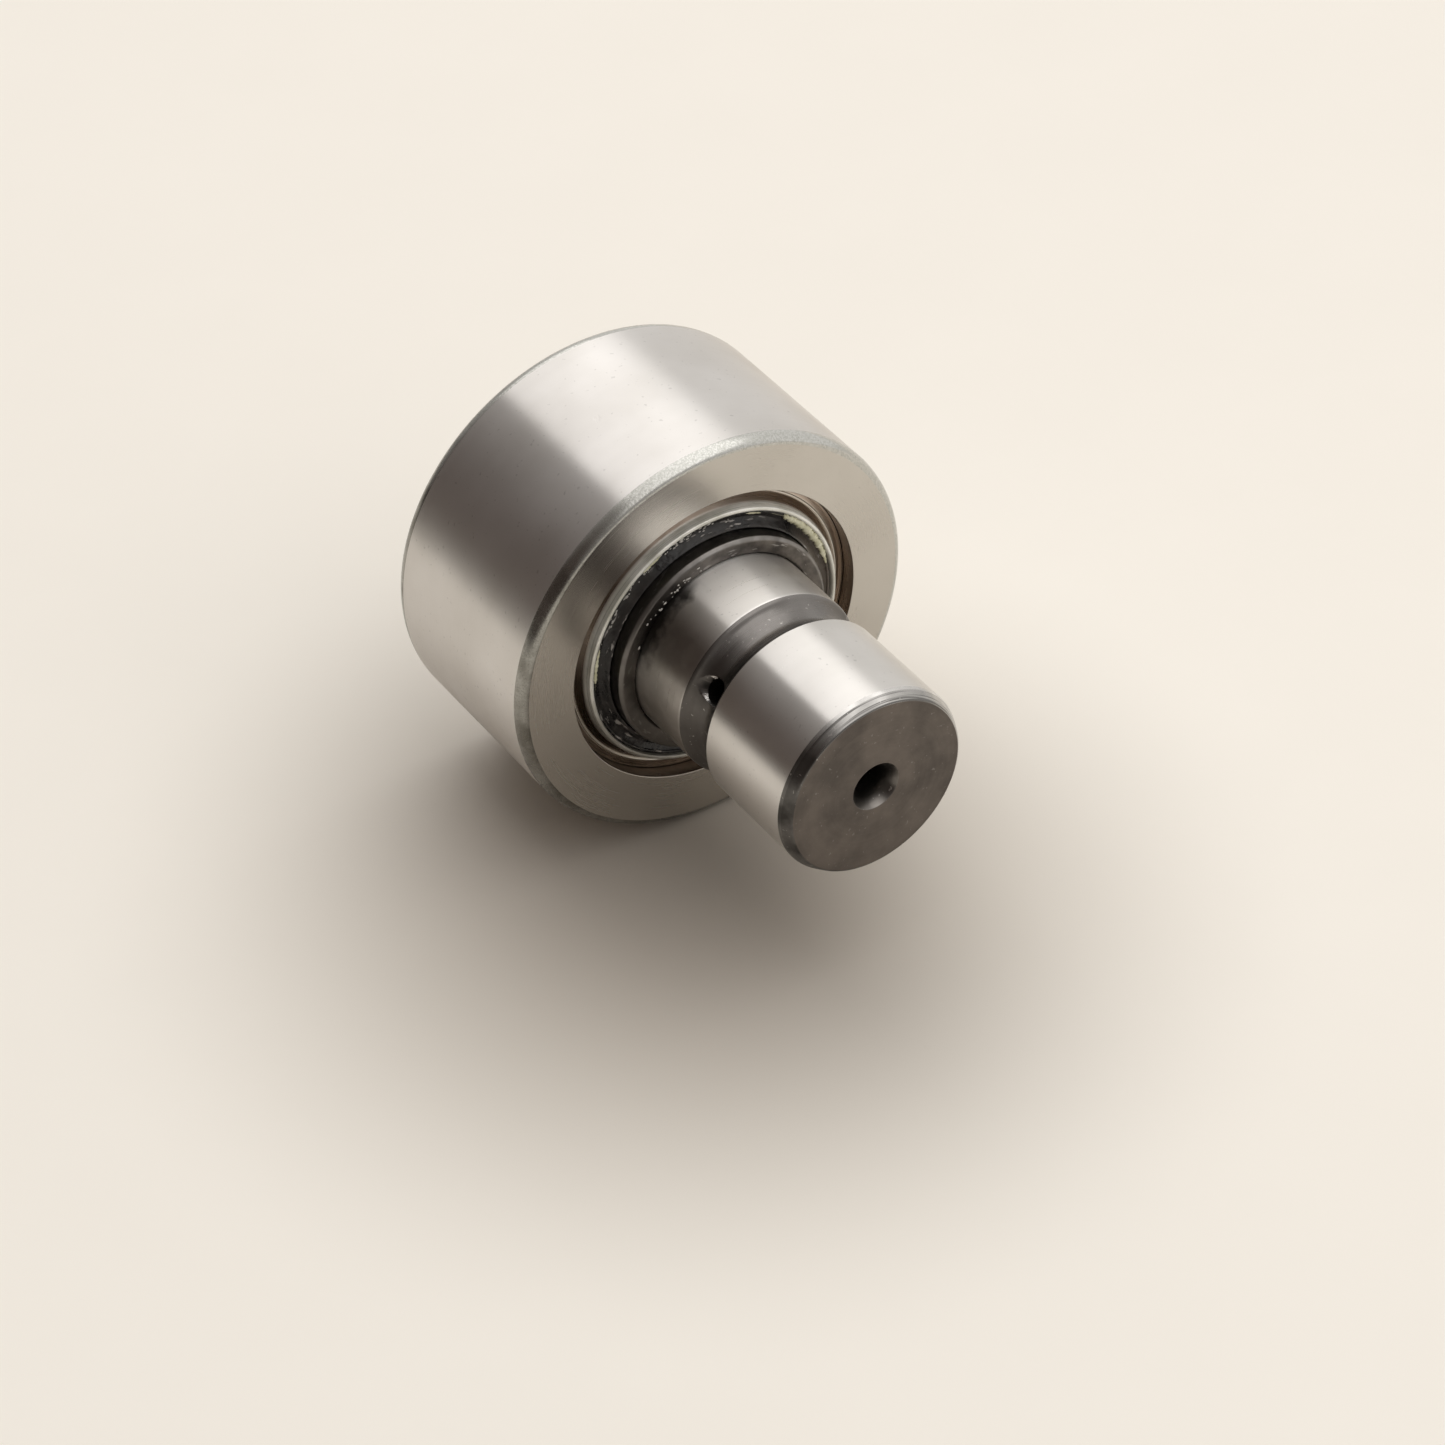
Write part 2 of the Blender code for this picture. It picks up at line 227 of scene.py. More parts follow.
def new_steel(name, colour, roughness):
    """A metal, as its material, node tree and shader."""
    material = bpy.data.materials.new(name)
    material.use_nodes = True
    tree = material.node_tree
    shader = tree.nodes["Principled BSDF"]
    shader.inputs["Base Color"].default_value = (*colour, 1.0)
    shader.inputs["Metallic"].default_value = 1.0
    shader.inputs["Roughness"].default_value = roughness
    return material, tree, shader


def maths(tree, operation, first, second=0.0):
    """One step of arithmetic on one or two values, each a number or a socket."""
    node = tree.nodes.new("ShaderNodeMath")
    node.operation = operation
    for socket, value in zip(node.inputs, (first, second)):
        if isinstance(value, (int, float)):
            socket.default_value = value
        else:
            tree.links.new(value, socket)
    return node.outputs[0]


def lathe_place(tree):
    """Where a point is on a turned piece: its X, its station Y, its Z, and its radius."""
    place = tree.nodes.new("ShaderNodeTexCoord")
    split = tree.nodes.new("ShaderNodeSeparateXYZ")
    tree.links.new(place.outputs["Object"], split.inputs[0])
    x, y, z = split.outputs
    squares = maths(tree, "ADD", maths(tree, "MULTIPLY", x, x), maths(tree, "MULTIPLY", z, z))
    return x, y, z, maths(tree, "SQRT", squares)


def tool_marks(tree, across, around, detail=3.0):
    """Marks that run round the axis: `across` of them a metre, changing slowly on the way round."""
    x, y, z, radius = lathe_place(tree)
    vector = tree.nodes.new("ShaderNodeCombineXYZ")
    tree.links.new(maths(tree, "MULTIPLY", radius, across), vector.inputs["X"])
    tree.links.new(maths(tree, "MULTIPLY", y, across), vector.inputs["Y"])
    tree.links.new(maths(tree, "MULTIPLY", x, around), vector.inputs["Z"])
    noise = tree.nodes.new("ShaderNodeTexNoise")
    noise.noise_dimensions = "4D"
    noise.inputs["Scale"].default_value = 1.0
    noise.inputs["Detail"].default_value = detail
    tree.links.new(vector.outputs[0], noise.inputs["Vector"])
    tree.links.new(maths(tree, "MULTIPLY", z, around), noise.inputs["W"])
    return noise.outputs["Fac"]


def grain(tree, scale, detail=2.0, shift=0.0):
    """Even noise, `scale` features a metre."""
    place = tree.nodes.new("ShaderNodeTexCoord")
    moved = tree.nodes.new("ShaderNodeMapping")
    moved.inputs["Location"].default_value = (shift, shift, shift)
    tree.links.new(place.outputs["Object"], moved.inputs["Vector"])
    noise = tree.nodes.new("ShaderNodeTexNoise")
    noise.inputs["Scale"].default_value = scale
    noise.inputs["Detail"].default_value = detail
    tree.links.new(moved.outputs[0], noise.inputs["Vector"])
    return noise.outputs["Fac"]


def spread(tree, value, start, end, low=0.0, high=1.0):
    """Takes a value from start..end to low..high, and holds it there at both ends."""
    node = tree.nodes.new("ShaderNodeMapRange")
    node.inputs["From Min"].default_value = start
    node.inputs["From Max"].default_value = end
    node.inputs["To Min"].default_value = low
    node.inputs["To Max"].default_value = high
    tree.links.new(value, node.inputs["Value"])
    return node.outputs[0]


def blend_colours(tree, share, first, second):
    """Mixes two colours, each a tuple or a socket, by a 0 to 1 share."""
    mix = tree.nodes.new("ShaderNodeMix")
    mix.data_type = "RGBA"
    tree.links.new(share, mix.inputs["Factor"])
    sockets = [socket for socket in mix.inputs if socket.type == "RGBA"]
    for socket, colour in zip(sockets, (first, second)):
        if isinstance(colour, tuple):
            socket.default_value = (*colour, 1.0)
        else:
            tree.links.new(colour, socket)
    return next(socket for socket in mix.outputs if socket.type == "RGBA")


def emboss(tree, shader, height, depth, strength=1.0):
    """Adds a height pattern, `depth` metres deep, over the bumps that the shader already has."""
    node = tree.nodes.new("ShaderNodeBump")
    node.inputs["Distance"].default_value = depth
    node.inputs["Strength"].default_value = strength
    tree.links.new(height, node.inputs["Height"])
    if shader.inputs["Normal"].is_linked:
        tree.links.new(shader.inputs["Normal"].links[0].from_socket, node.inputs["Normal"])
    tree.links.new(node.outputs[0], shader.inputs["Normal"])


def far_side(tree, turn, near=0.2, far=-0.7):
    """A share that is 0 on the side of the piece at `turn` degrees round the axis, and 1 opposite.

    It rises between two cosines of the angle from that side, `near` and `far`.
    """
    x, y, z, radius = lathe_place(tree)
    towards = maths(tree, "ADD", maths(tree, "MULTIPLY", x, math.cos(math.radians(turn))),
                    maths(tree, "MULTIPLY", z, math.sin(math.radians(turn))))
    return spread(tree, maths(tree, "DIVIDE", towards, radius), near, far)


def drag_light_along(tree, shader, amount):
    """Ground round the axis: the hair-fine marks spread a reflection along the piece, not round it."""
    along = tree.nodes.new("ShaderNodeCombineXYZ")
    along.inputs["Y"].default_value = 1.0
    tree.links.new(along.outputs[0], shader.inputs["Tangent"])
    shader.inputs["Anisotropic"].default_value = amount


def ground_finish(name, bright, dull, roughness, drag=0.0, marked=0.4):
    """Ground and lapped: satin, with hair-fine marks, faint oil clouds and a few tiny flecks."""
    material, tree, shader = new_steel(name, bright, roughness)
    if drag:
        drag_light_along(tree, shader, drag)
    clouds = spread(tree, grain(tree, 160, 3.0), 0.35, 0.70)
    marks = tool_marks(tree, 9000, 60)
    flecks = spread(tree, grain(tree, 2600, 1.0, 3.0), 0.70, 0.78, 0.0, 0.35)
    oiled = blend_colours(tree, clouds, bright, dull)
    fleck = tuple(value * 0.5 for value in dull)
    tree.links.new(blend_colours(tree, flecks, oiled, fleck), shader.inputs["Base Color"])
    uneven = maths(tree, "ADD", spread(tree, clouds, 0.0, 1.0, -0.015, 0.025),
                   spread(tree, marks, 0.3, 0.7, -0.025, 0.025))
    tree.links.new(maths(tree, "ADD", uneven, roughness), shader.inputs["Roughness"])
    emboss(tree, shader, marks, 0.0010 * MM, marked)
    emboss(tree, shader, grain(tree, 5200), 0.0016 * MM, 0.5)
    return material


def turned_finish(name, colour, stain, roughness, feed=5200, depth=0.006, nicked=0.5, lit_side=None,
                  ring_dirt=0.0):
    """As turned and dark with oil: tool rings, blotches, and small bright nicks.

    There are `feed` rings a metre, `depth` millimetres deep. `lit_side` is the side that painted shade
    spares, as far_side takes it: the far side is painted darker in the stain colour as painted shade.
    `ring_dirt` is how much dirt the rings hold.
    """
    material, tree, shader = new_steel(name, colour, roughness)
    blotches = spread(tree, grain(tree, 420, 4.0), 0.35, 0.68)
    rings = tool_marks(tree, feed, 90, 2.0)
    if lit_side:
        # Painted shade: the stain colour is laid over the side away from `lit_side`.
        painted_far_shade = maths(tree, "MULTIPLY", far_side(tree, *lit_side),
                      spread(tree, blotches, 0.0, 1.0, 0.75, 1.0))
        blotches = maths(tree, "MAXIMUM", painted_far_shade, maths(tree, "MULTIPLY", blotches, 0.4))
    if ring_dirt:
        blotches = maths(tree, "MAXIMUM", blotches, spread(tree, rings, 0.50, 0.42, 0.0, ring_dirt))
    nicks = spread(tree, grain(tree, 3100, 2.0, 7.0), 0.68, 0.75, 0.0, nicked)
    stained = blend_colours(tree, blotches, colour, stain)
    bare_steel = (0.60, 0.58, 0.55)
    tree.links.new(blend_colours(tree, nicks, stained, bare_steel), shader.inputs["Base Color"])
    uneven = maths(tree, "ADD", spread(tree, blotches, 0.0, 1.0, -0.04, 0.06),
                   spread(tree, rings, 0.3, 0.7, -0.06, 0.06))
    tree.links.new(maths(tree, "ADD", uneven, roughness), shader.inputs["Roughness"])
    emboss(tree, shader, rings, depth * MM, 0.6)
    emboss(tree, shader, grain(tree, 2400, 3.0), 0.004 * MM, 0.5)
    return material


def shaded_land_finish():
    """The land behind the groove: ground like the shank, and painted dim all round as painted shade except
    along the one band where the light falls, and near black beside the washer on one side."""
    lit_band_turn = 98
    dark_patch_turn = 140
    land_shade_colour = (0.37, 0.35, 0.33)
    black_dark_patch = (0.10, 0.095, 0.09)
    material = ground_finish("shaded_land", (0.76, 0.74, 0.715), (0.70, 0.68, 0.65), 0.31, drag=0.95)
    tree = material.node_tree
    shader = tree.nodes["Principled BSDF"]
    x, y, z, radius = lathe_place(tree)
    clouds = grain(tree, 700, 3.0, 6.0)
    # Painted shade: away from the lit band at lit_band_turn the land is painted down to land_shade_colour.
    dull = maths(tree, "MULTIPLY", far_side(tree, lit_band_turn, 0.95, 0.80),
                 spread(tree, clouds, 0.3, 0.6, 0.8, 1.0))
    oiled = blend_colours(tree, dull, shader.inputs["Base Color"].links[0].from_socket, land_shade_colour)
    # Near black in a band beside the washer, on the side at dark_patch_turn.
    dark_patch_edge = maths(tree, "ADD", y, spread(tree, clouds, 0.3, 0.7, -0.6 * MM, 0.6 * MM))
    dark_patch = maths(tree, "MULTIPLY", spread(tree, dark_patch_edge, -1.5 * MM, -0.5 * MM),
                   far_side(tree, dark_patch_turn + 180, -0.84, -0.94))
    tree.links.new(blend_colours(tree, dark_patch, oiled, black_dark_patch), shader.inputs["Base Color"])
    return material


stud_outline = [
    (0.0, oil_drill_end + oil_drill_tip),
    (oil_drill, oil_drill_end),
    (oil_drill, shank_end + centre_depth),
    (centre_mouth, shank_end),
    (end_radius, shank_end),
    (shank_radius, chamfer_start),
    *clamp_groove(),
    (shank_radius, raceway_shoulder),
    (raceway_radius - raceway_chamfer, raceway_shoulder),
    (raceway_radius, raceway_shoulder + raceway_chamfer),
    (raceway_radius, flange_front),
    (flange_radius, flange_front),
    (flange_radius, flange_back),
    (head_radius, flange_back),
    (head_radius, head_face - head_chamfer),
    (head_radius - head_chamfer, head_face),
    (centre_mouth, head_face),
    (0.0, head_face - head_centre_depth),
]
stud_shape = turned_shape(stud_outline)
round_rim(stud_shape, end_radius, shank_end, end_face_edge, 4)
round_rim(stud_shape, shank_radius, chamfer_start, rubbed_edge, 4)
round_rim(stud_shape, centre_mouth, shank_end, centre_hole_edge, 2)
round_rim(stud_shape, head_radius, head_face - head_chamfer)
round_rim(stud_shape, head_radius - head_chamfer, head_face)
round_rim(stud_shape, centre_mouth, head_face)
stud_finishes = [
    ground_finish("ground_shank", (0.68, 0.66, 0.637), (0.63, 0.61, 0.583), 0.31, drag=0.95),
    # The groove, the end chamfer and the rubbed rim are painted lighter on their lit side and darker on the
    # far side, as painted shade.
    turned_finish("turned_groove", (0.205, 0.193, 0.184), (0.10, 0.093, 0.087), 0.30,
                  lit_side=(85, 0.90, 0.55)),
    turned_finish("turned_end_face", (0.15, 0.13, 0.115), (0.108, 0.094, 0.084), 0.46,
                  feed=3600, depth=0.004, nicked=0.16),
    turned_finish("turned_end_chamfer", (0.50, 0.487, 0.47), (0.045, 0.042, 0.039), 0.26,
                  feed=3000, depth=0.045, nicked=0.6, lit_side=(35, 0.40, -0.20), ring_dirt=0.75),
    turned_finish("drilled_oil_hole", (0.22, 0.205, 0.19), (0.10, 0.093, 0.085), 0.34,
                  feed=2500, depth=0.02, nicked=0.6),
    turned_finish("countersunk_oil_hole", (0.62, 0.60, 0.58), (0.30, 0.29, 0.28), 0.26,
                  feed=5000, depth=0.01, nicked=0.8),
    turned_finish("rubbed_rim", (0.70, 0.685, 0.665), (0.06, 0.057, 0.053), 0.28,
                  feed=4000, depth=0.020, nicked=0.7, lit_side=(35, 0.40, -0.20)),
    shaded_land_finish(),
]
SHANK, GROOVE, END_FACE, END_CHAMFER, OIL_HOLE, COUNTERSINK, RUBBED_RIM, SHADED_LAND = range(8)


def stud_finish_at(spot, facing):
    """Which of the stud's finishes a face has, from its centre and its normal."""
    radius = math.hypot(spot.x, spot.z)
    if radius < centre_mouth:
        return OIL_HOLE
    if groove_front - broken_edge < spot.y < groove_rear + groove_rub / 2:
        beside_drill = spot.x * math.sin(cross_drill_angle) - spot.z * math.cos(cross_drill_angle)
        off_drill = math.hypot(beside_drill, spot.y - groove_middle)
        past_drill = off_drill > 1.01 * cross_drill
        faces_out = (facing.x * spot.x + facing.z * spot.z) / radius > 0.35
        if past_drill and faces_out or off_drill > 1.2 * sink_radius:
            return GROOVE
        return COUNTERSINK if past_drill else OIL_HOLE
    if groove_rear < spot.y < raceway_shoulder:
        return SHADED_LAND
    if abs(spot.y - chamfer_start) < 0.7 * rubbed_edge:
        return RUBBED_RIM
    if spot.y < shank_end + 0.02 * MM or spot.y > head_face - 0.75 * head_chamfer:
        return END_FACE
    return END_CHAMFER if spot.y < chamfer_start else SHANK


stud = finished_piece("ground_stud", stud_shape, stud_finishes)
drill(stud, groove_middle, cross_drill_start, cross_drill_end, cross_drill)
drill(stud, roller_middle, cross_drill_start, cross_drill_end, cross_drill)
drill(stud, groove_middle, sink_floor, sink_floor + 2 * sink_depth, cross_drill,
      2 * sink_radius - cross_drill)
for face in stud.data.polygons:
    face.material_index = stud_finish_at(face.center, face.normal)
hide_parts("stud")
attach(stud, "stud")

# ---------------------------------------------------------------------------------------------------
# The abutment washer. A turned steel collar pressed on the shank: its hub meets the bracket and its
# flange holds the roller. Black with greasy dirt and with painted shade on the side away from the light,
# and rubbed a little cleaner in places.

hub_radius = 9.45 * MM
hub_chamfer = 0.25 * MM
hub_edge = 0.08 * MM
press_fit = 0.03 * MM
washer_seat = shank_radius + press_fit
washer_chamfer = 0.15 * MM
washer_bore_edge = 0.05 * MM
washer_back = roller_middle - flange_reach
washer_flange_front = washer_back - flange_width


def greasy_collar_finish():
    """Turned steel under black greasy dirt with dust in it, a little lighter at the proud outer edge, and
    painted darker away from the side at 45 degrees, as painted shade.
    """
    thin_dirt = (0.150, 0.137, 0.125)
    thick_dirt = (0.070, 0.064, 0.060)
    caught_dust = (0.40, 0.385, 0.37)
    rubbed_steel = (0.25, 0.237, 0.225)
    painted_collar_shade_colour = (0.115, 0.107, 0.10)
    material, tree, shader = new_steel("greasy_collar", (0.12, 0.112, 0.104), 0.34)
    x, y, z, radius = lathe_place(tree)
    near_edge = maths(tree, "MULTIPLY", spread(tree, radius, hub_radius - 0.34 * MM, hub_radius - 0.20 * MM),
                      spread(tree, y, 0.42 * MM, 0.26 * MM))
    rubbed = maths(tree, "MULTIPLY", near_edge, spread(tree, grain(tree, 800, 3.0), 0.36, 0.60, 0.45, 1.0))
    dirt = spread(tree, grain(tree, 900, 4.0, 5.0), 0.38, 0.66)
    dirty = blend_colours(tree, dirt, thin_dirt, thick_dirt)
    dashes = spread(tree, tool_marks(tree, 3000, 900, 2.0), 0.62, 0.68, 0.0, 0.6)
    dusty = blend_colours(tree, dashes, dirty, caught_dust)
    worn = blend_colours(tree, rubbed, dusty, rubbed_steel)
    # Painted shade: the collar is painted near black away from the side at 45 degrees.
    painted_collar_shade = maths(tree, "MULTIPLY", far_side(tree, 45, 0.80, 0.25), 0.6)
    tree.links.new(blend_colours(tree, painted_collar_shade, worn, painted_collar_shade_colour), shader.inputs["Base Color"])
    rings = tool_marks(tree, 6500, 80, 2.0)
    tree.links.new(spread(tree, rings, 0.3, 0.7, 0.28, 0.42), shader.inputs["Roughness"])
    emboss(tree, shader, rings, 0.006 * MM, 0.7)
    emboss(tree, shader, grain(tree, 2200, 3.0), 0.012 * MM, 0.6)
    return material


washer_outline = [
    (washer_seat + washer_chamfer, 0.0),
    (hub_radius - hub_chamfer, 0.0),
    (hub_radius, hub_chamfer),
    (hub_radius, washer_flange_front),
    (flange_radius, washer_flange_front),
    (flange_radius, washer_back),
    (washer_seat + washer_chamfer, washer_back),
    (washer_seat, washer_back - washer_chamfer),
    (washer_seat, washer_chamfer),
]
washer_shape = turned_shape(washer_outline, bored=True)
round_rim(washer_shape, hub_radius - hub_chamfer, 0.0, hub_edge)
round_rim(washer_shape, hub_radius, hub_chamfer, hub_edge)
round_rim(washer_shape, washer_seat + washer_chamfer, 0.0, washer_bore_edge)
round_rim(washer_shape, flange_radius, washer_flange_front)
washer = finished_piece("pressed_washer", washer_shape, [greasy_collar_finish()])
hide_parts("abutment_washer")
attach(washer, "stud")

# ---------------------------------------------------------------------------------------------------
# The thrust washers. Flat rings of natural acetal between each steel flange and the roller's ribs,
# turned from rod, with oil soaked into them.

thrust_bore = 10.08 * MM
thrust_edge = 0.06 * MM
clean_acetal = (0.66, 0.61, 0.49)
soaked_acetal = (0.50, 0.43, 0.29)
acetal = bpy.data.materials.new("natural_acetal")
acetal.use_nodes = True
acetal_tree = acetal.node_tree
acetal_shader = acetal_tree.nodes["Principled BSDF"]
acetal_shader.inputs["Subsurface Weight"].default_value = 0.12
acetal_shader.inputs["Subsurface Radius"].default_value = (0.0006, 0.0004, 0.0002)
oil_soak = spread(acetal_tree, grain(acetal_tree, 350, 3.0), 0.35, 0.70)
acetal_colour = blend_colours(acetal_tree, oil_soak, clean_acetal, soaked_acetal)
acetal_tree.links.new(acetal_colour, acetal_shader.inputs["Base Color"])
acetal_rings = tool_marks(acetal_tree, 4200, 70, 2.0)
acetal_tree.links.new(spread(acetal_tree, acetal_rings, 0.3, 0.7, 0.34, 0.52),
                      acetal_shader.inputs["Roughness"])
emboss(acetal_tree, acetal_shader, acetal_rings, 0.008 * MM, 0.6)


def thrust_washer(name):
    """A flat ring in the space of its CAD node, with broken edges."""
    low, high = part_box(name)
    outline = [(thrust_bore, low.y), (high.x, low.y), (high.x, high.y), (thrust_bore, high.y)]
    shape = turned_shape(outline, bored=True, steps=180)
    for radius, y in outline:
        round_rim(shape, radius, y, thrust_edge, 2)
    ring = finished_piece("acetal_" + name, shape, [acetal])
    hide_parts(name)
    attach(ring, "stud")


thrust_washer("front_thrust_washer")
thrust_washer("rear_thrust_washer")

# ---------------------------------------------------------------------------------------------------
# The needle cage. A sleeve of sheet steel with a window punched for every needle, oiled, its edges
# rounded by tumbling. It floats between the two raceways and is guided by the needles.

NEEDLE_COUNT = 18
cage_low, cage_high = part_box("needle_cage")
cage_inner = 10.35 * MM
cage_outer = 11.60 * MM
window_half_length = 4.58 * MM
window_half_angle = 7
degree_steps = 360
cage_edge = 0.08 * MM


def cage_sheet():
    """A sleeve one sheet thin at its mean radius, a face to each degree, with the windows left out."""
    stations = [cage_low.y, roller_middle - window_half_length, roller_middle + window_half_length,
                cage_high.y]
    mean_radius = (cage_inner + cage_outer) / 2
    shape = turned_shape([(mean_radius, y) for y in stations], steps=degree_steps)
    pitch = degree_steps / NEEDLE_COUNT
    punched = []
    for face in shape.faces:
        middle = face.calc_center_median()
        angle = math.degrees(math.atan2(middle.z, middle.x)) % pitch
        if abs(angle - pitch / 2) < window_half_angle and abs(middle.y - roller_middle) < window_half_length:
            punched.append(face)
    bmesh.ops.delete(shape, geom=punched, context="FACES")
    return shape


def thicken(shape, thickness):
    """Gives the sheet its wall, half of it to each side."""
    for vert in shape.verts:
        stretch = 1 + thickness / 2 / math.hypot(vert.co.x, vert.co.z)
        vert.co.x *= stretch
        vert.co.z *= stretch
    bmesh.ops.recalc_face_normals(shape, faces=shape.faces)
    outward = sum(face.normal.x * face.calc_center_median().x + face.normal.z * face.calc_center_median().z
                  for face in shape.faces)
    if outward < 0:
        bmesh.ops.reverse_faces(shape, faces=shape.faces)
    bmesh.ops.solidify(shape, geom=shape.faces, thickness=thickness)
    bmesh.ops.recalc_face_normals(shape, faces=shape.faces)


cage_shape = cage_sheet()
thicken(cage_shape, cage_outer - cage_inner)
square_corner = 1.0
sheared = [edge for edge in cage_shape.edges if edge.is_manifold and edge.calc_face_angle() > square_corner]
bmesh.ops.bevel(cage_shape, geom=sheared, offset=cage_edge, offset_type="OFFSET", segments=2, profile=0.5,
                affect="EDGES", material=-1, clamp_overlap=True)
cage_steel = turned_finish("oiled_cage_sheet", (0.42, 0.40, 0.37), (0.30, 0.28, 0.25), 0.30,
                           feed=3000, depth=0.004, nicked=0.2)
cage = finished_piece("punched_cage", cage_shape, [cage_steel])
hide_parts("needle_cage")
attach(cage, "cage")

# ---------------------------------------------------------------------------------------------------
# The needle rollers. Eighteen lapped pins of bearing steel, 2.5 x 9 mm, with rounded ends. Each turns
# on itself in its window of the cage.

needle_radius = 1.25 * MM
needle_half = 4.5 * MM
needle_pitch = 11.27 * MM
needle_round = 0.2 * MM
needle_steel = ground_finish("lapped_needle", (0.68, 0.67, 0.66), (0.62, 0.61, 0.59), 0.10)

for index in range(NEEDLE_COUNT):
    node = f"needle_{index + 1:02d}"
    turn = math.tau * (index + 0.5) / NEEDLE_COUNT
    needle_shape = turned_shape([(0.0, -needle_half), (needle_radius, -needle_half),
                                 (needle_radius, needle_half), (0.0, needle_half)], steps=48)
    round_rim(needle_shape, needle_radius, -needle_half, needle_round, 4)
    round_rim(needle_shape, needle_radius, needle_half, needle_round, 4)
    bmesh.ops.translate(needle_shape, verts=needle_shape.verts,
                        vec=(needle_pitch * math.cos(turn), roller_middle, needle_pitch * math.sin(turn)))
    needle = finished_piece("lapped_" + node, needle_shape, [needle_steel])
    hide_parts(node)
    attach(needle, node)

# ---------------------------------------------------------------------------------------------------
# The outer ring. A thick-walled roller of hardened bearing steel. The tread and both faces are ground,
# the rounded edges are tumbled, and the seal recess is turned and brown with old oil.

roller_radius = 17.5 * MM
edge_fall = 0.70 * MM
edge_length = 1.0 * MM
recess_radius = 12.79 * MM
recess_chamfer = 0.05 * MM
recess_edge = 0.02 * MM
rib_radius = 11.75 * MM
rib_inner = 4.6 * MM
rib_outer = 5.6 * MM
bore_radius = 12.56 * MM
EDGE_SEGMENTS = 12


def tumbled_edge(face_y, inwards):
    """The quarter-round between a face and the tread, as an ellipse from the face out to the tread."""
    points = []
    for step in range(EDGE_SEGMENTS + 1):
        angle = math.radians(90 * step / EDGE_SEGMENTS)
        radius = roller_radius - edge_fall + edge_fall * math.sin(angle)
        points.append((radius, face_y + inwards * edge_length * (1 - math.cos(angle))))
    return points


ring_outline = [
    (recess_radius + recess_chamfer, roller_front),
    *tumbled_edge(roller_front, 1),
    *reversed(tumbled_edge(roller_rear, -1)),
    (recess_radius + recess_chamfer, roller_rear),
    (recess_radius, roller_rear - recess_chamfer),
    (recess_radius, roller_middle + rib_outer),
    (rib_radius, roller_middle + rib_outer),
    (rib_radius, roller_middle + rib_inner),
    (bore_radius, roller_middle + rib_inner),
    (bore_radius, roller_middle - rib_inner),
    (rib_radius, roller_middle - rib_inner),
    (rib_radius, roller_middle - rib_outer),
    (recess_radius, roller_middle - rib_outer),
    (recess_radius, roller_front + recess_chamfer),
]
ring_shape = turned_shape(ring_outline, bored=True, steps=360)
for face_y, inwards in ((roller_front, 1), (roller_rear, -1)):
    round_rim(ring_shape, recess_radius + recess_chamfer, face_y, recess_edge, 2)
    round_rim(ring_shape, recess_radius, face_y + inwards * recess_chamfer, recess_edge, 2)


def tread_finish():
    """The ground tread, with one small ragged dent from handling."""
    dent_angle = math.radians(105)
    dent_reach = 0.5 * MM
    dent_depth = 0.03 * MM
    material = ground_finish("ground_tread", (0.69, 0.667, 0.645), (0.645, 0.62, 0.592), 0.33, drag=1.0)
    tree = material.node_tree
    shader = tree.nodes["Principled BSDF"]
    dent = (roller_radius * math.cos(dent_angle), roller_middle, roller_radius * math.sin(dent_angle))
    place = tree.nodes.new("ShaderNodeTexCoord")
    reach = tree.nodes.new("ShaderNodeVectorMath")
    reach.operation = "DISTANCE"
    reach.inputs[1].default_value = dent
    tree.links.new(place.outputs["Object"], reach.inputs[0])
    rag = spread(tree, grain(tree, 4000), 0.3, 0.7, 0.0, 0.3 * MM)
    ragged = maths(tree, "ADD", reach.outputs["Value"], rag)
    emboss(tree, shader, spread(tree, ragged, 0.1 * MM, dent_reach), dent_depth, 0.8)
    return material


def tumbled_finish():
    """Rounded edges: peened with very fine bright and dark specks, and painted darker in patches on the far
    side, as painted shade.
    """
    dark_speck = (0.44, 0.44, 0.41)
    bright_speck = (0.57, 0.565, 0.54)
    edge_shade_colour = (0.18, 0.173, 0.153)
    material, tree, shader = new_steel("tumbled_edge", (0.42, 0.42, 0.395), 0.30)
    specks = spread(tree, grain(tree, 6500, 2.0), 0.38, 0.62)
    pitted = blend_colours(tree, specks, dark_speck, bright_speck)
    patches = spread(tree, grain(tree, 500, 3.0, 2.0), 0.40, 0.64, 0.60, 1.0)
    # Painted shade: patches of darker colour on the side away from 20 degrees.
    painted_edge_shade = maths(tree, "MULTIPLY", patches, far_side(tree, 20))
    tree.links.new(blend_colours(tree, painted_edge_shade, pitted, edge_shade_colour), shader.inputs["Base Color"])
    tree.links.new(spread(tree, specks, 0.0, 1.0, 0.28, 0.19), shader.inputs["Roughness"])
    emboss(tree, shader, grain(tree, 6000, 2.0), 0.004 * MM, 0.7)
    return material


ring_finishes = [
    tread_finish(),
    tumbled_finish(),
    ground_finish("ground_face", (0.565, 0.538, 0.495), (0.525, 0.498, 0.455), 0.25, marked=0.12),
    # Painted shade: the recess is painted darker on the side away from 10 degrees.
    turned_finish("oily_recess", (0.24, 0.195, 0.157), (0.11, 0.087, 0.067), 0.30,
                  feed=4200, depth=0.003, nicked=0.15, lit_side=(10,)),
]
TREAD, EDGE, FACE, RECESS = range(4)
turned_depth = 5 * MM
for face in ring_shape.faces:
    spot = face.calc_center_median()
    radius = math.hypot(spot.x, spot.z)
    from_face = min(spot.y - roller_front, roller_rear - spot.y)
    if radius < recess_radius + recess_chamfer - recess_edge:
        face.material_index = RECESS if from_face < turned_depth else TREAD
    elif radius < roller_radius - edge_fall:
        face.material_index = FACE
    elif from_face < edge_length:
        face.material_index = EDGE
ring = finished_piece("ground_roller", ring_shape, ring_finishes)
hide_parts("outer_ring")
